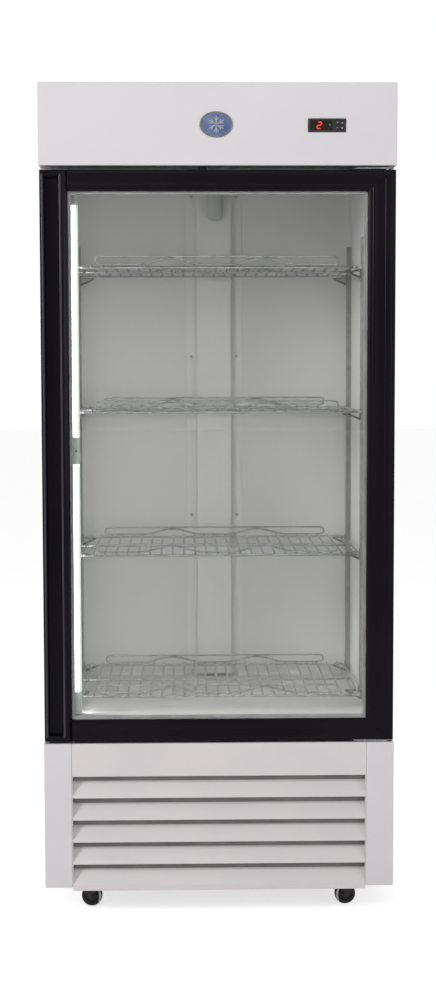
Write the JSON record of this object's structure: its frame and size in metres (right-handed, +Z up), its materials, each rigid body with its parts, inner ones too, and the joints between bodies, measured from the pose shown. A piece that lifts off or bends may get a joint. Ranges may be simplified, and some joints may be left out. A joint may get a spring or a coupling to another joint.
{
  "type": "reach-in refrigerator",
  "caption": "Upright commercial reach-in refrigerator: white cabinet, hinged black-framed glass door, wire shelves, upright lamp, louvred base on casters.",
  "frame": {"origin": "on the floor, under the middle of the cabinet's width and depth with the door shut", "axes": "+Z up, +Y from the door towards the back, +X towards the hinge side (the viewer's right)"},
  "size_m": [0.85, 0.675, 2.013],
  "materials": {
    "white_paint": "satin",
    "liner_sheet": "satin",
    "insulation_foam": "matte",
    "white_plastic": "satin",
    "badge_enamel": "gloss",
    "black_plastic": "satin",
    "galvanised_steel": "satin",
    "zinc_plated_steel": "satin",
    "black_frame": "gloss",
    "clear_glass": "polished",
    "bright_aluminium": "satin",
    "gasket_rubber": "matte",
    "grey_hose": "satin",
    "lamp_diffuser": "satin",
    "dark_enamel": "satin",
    "chromed_wire": "polished",
    "caster_rubber": "satin"
  },
  "bodies": {
    "cabinet": {"outer_case": "white_paint", "back_panel": "white_paint", "foam_insulation": "insulation_foam", "inner_liner": "liner_sheet", "breaker_frame": "white_plastic", "header_panel": "white_paint", "badge": "badge_enamel", "control_unit": "black_plastic", "door_switch": "black_plastic", "base_post_left": "white_paint", "base_post_right": "white_paint", "grille_panel": "white_paint", "base_pan": "galvanised_steel", "rear_grille": "white_paint", "cord_gland": "black_plastic", "hinge_bracket_top": "zinc_plated_steel", "hinge_bracket_bottom": "zinc_plated_steel", "pilaster_front_left": "galvanised_steel", "pilaster_rear_left": "galvanised_steel", "pilaster_front_right": "galvanised_steel", "pilaster_rear_right": "galvanised_steel", "duct_cover": "liner_sheet", "drain_tube": "grey_hose", "lamp_channel": "white_plastic", "lamp_tube_upper": "lamp_diffuser", "lamp_tube_lower": "lamp_diffuser", "evaporator_cover": "liner_sheet", "evaporator_coil": "bright_aluminium", "evaporator_fan_motor": "dark_enamel", "compressor": "dark_enamel", "condenser_coil": "bright_aluminium", "condenser_fan_motor": "dark_enamel", "drip_tray": "black_plastic"},
    "door": {"door_stile_handle": "black_frame", "door_stile_hinge": "black_frame", "door_rail_top": "black_frame", "door_rail_bottom": "black_frame", "glass_outer": "clear_glass", "glass_spacer": "bright_aluminium", "glass_inner": "clear_glass", "door_gasket": "gasket_rubber", "door_closer": "zinc_plated_steel"},
    "shelf_1_body": {"shelf_1": "chromed_wire"},
    "shelf_2_body": {"shelf_2": "chromed_wire"},
    "shelf_3_body": {"shelf_3": "chromed_wire"},
    "shelf_4_body": {"shelf_4": "chromed_wire"},
    "key_set_body": {"key_set": "black_plastic"},
    "key_lamp_body": {"key_lamp": "black_plastic"},
    "key_down_body": {"key_down": "black_plastic"},
    "key_up_body": {"key_up": "black_plastic"},
    "evaporator_fan_body": {"evaporator_fan": "black_plastic"},
    "condenser_fan_body": {"condenser_fan": "black_plastic"},
    "swivel_front_left": {"caster_fork_front_left": "zinc_plated_steel"},
    "wheel_front_left": {"caster_wheel_front_left": "caster_rubber"},
    "swivel_front_right": {"caster_fork_front_right": "zinc_plated_steel"},
    "wheel_front_right": {"caster_wheel_front_right": "caster_rubber"},
    "swivel_rear_left": {"caster_fork_rear_left": "zinc_plated_steel"},
    "wheel_rear_left": {"caster_wheel_rear_left": "caster_rubber"},
    "swivel_rear_right": {"caster_fork_rear_right": "zinc_plated_steel"},
    "wheel_rear_right": {"caster_wheel_rear_right": "caster_rubber"}
  },
  "joints": [
    {"name": "door_hinge", "type": "hinge", "parent": "cabinet", "child": "door", "pos_m": [0.403, -0.3175, 1.1], "axis": [0, 0, 1], "range_deg": [0, 120]},
    {"name": "shelf_1_lift", "type": "slide", "parent": "cabinet", "child": "shelf_1_body", "axis": [0, 0, 1], "range_m": [0, 0.025]},
    {"name": "shelf_2_lift", "type": "slide", "parent": "cabinet", "child": "shelf_2_body", "axis": [0, 0, 1], "range_m": [0, 0.025]},
    {"name": "shelf_3_lift", "type": "slide", "parent": "cabinet", "child": "shelf_3_body", "axis": [0, 0, 1], "range_m": [0, 0.025]},
    {"name": "shelf_4_lift", "type": "slide", "parent": "cabinet", "child": "shelf_4_body", "axis": [0, 0, 1], "range_m": [0, 0.025]},
    {"name": "key_set_press", "type": "slide", "parent": "cabinet", "child": "key_set_body", "axis": [0, 1, 0], "range_m": [0, 0.0008], "stiffness_N_per_m": 600},
    {"name": "key_lamp_press", "type": "slide", "parent": "cabinet", "child": "key_lamp_body", "axis": [0, 1, 0], "range_m": [0, 0.0008], "stiffness_N_per_m": 600},
    {"name": "key_down_press", "type": "slide", "parent": "cabinet", "child": "key_down_body", "axis": [0, 1, 0], "range_m": [0, 0.0008], "stiffness_N_per_m": 600},
    {"name": "key_up_press", "type": "slide", "parent": "cabinet", "child": "key_up_body", "axis": [0, 1, 0], "range_m": [0, 0.0008], "stiffness_N_per_m": 600},
    {"name": "evaporator_fan_spin", "type": "hinge", "parent": "cabinet", "child": "evaporator_fan_body", "pos_m": [0, -0.1655, 1.8865], "axis": [0, 1, 0], "continuous": true},
    {"name": "condenser_fan_spin", "type": "hinge", "parent": "cabinet", "child": "condenser_fan_body", "pos_m": [0.175, -0.1055, 0.22565], "axis": [0, 1, 0], "continuous": true},
    {"name": "caster_front_left_swivel", "type": "hinge", "parent": "cabinet", "child": "swivel_front_left", "pos_m": [-0.3327, -0.2325, 0.06], "axis": [0, 0, 1], "continuous": true},
    {"name": "caster_front_left_roll", "type": "hinge", "parent": "swivel_front_left", "child": "wheel_front_left", "pos_m": [-0.3167, -0.2325, 0.026], "axis": [0, 1, 0], "continuous": true},
    {"name": "caster_front_right_swivel", "type": "hinge", "parent": "cabinet", "child": "swivel_front_right", "pos_m": [0.3327, -0.2325, 0.06], "axis": [0, 0, 1], "continuous": true},
    {"name": "caster_front_right_roll", "type": "hinge", "parent": "swivel_front_right", "child": "wheel_front_right", "pos_m": [0.3167, -0.2325, 0.026], "axis": [0, 1, 0], "continuous": true},
    {"name": "caster_rear_left_swivel", "type": "hinge", "parent": "cabinet", "child": "swivel_rear_left", "pos_m": [-0.3327, 0.2505, 0.06], "axis": [0, 0, 1], "continuous": true},
    {"name": "caster_rear_left_roll", "type": "hinge", "parent": "swivel_rear_left", "child": "wheel_rear_left", "pos_m": [-0.3167, 0.2505, 0.026], "axis": [0, 1, 0], "continuous": true},
    {"name": "caster_rear_right_swivel", "type": "hinge", "parent": "cabinet", "child": "swivel_rear_right", "pos_m": [0.3327, 0.2505, 0.06], "axis": [0, 0, 1], "continuous": true},
    {"name": "caster_rear_right_roll", "type": "hinge", "parent": "swivel_rear_right", "child": "wheel_rear_right", "pos_m": [0.3167, 0.2505, 0.026], "axis": [0, 1, 0], "continuous": true}
  ]
}
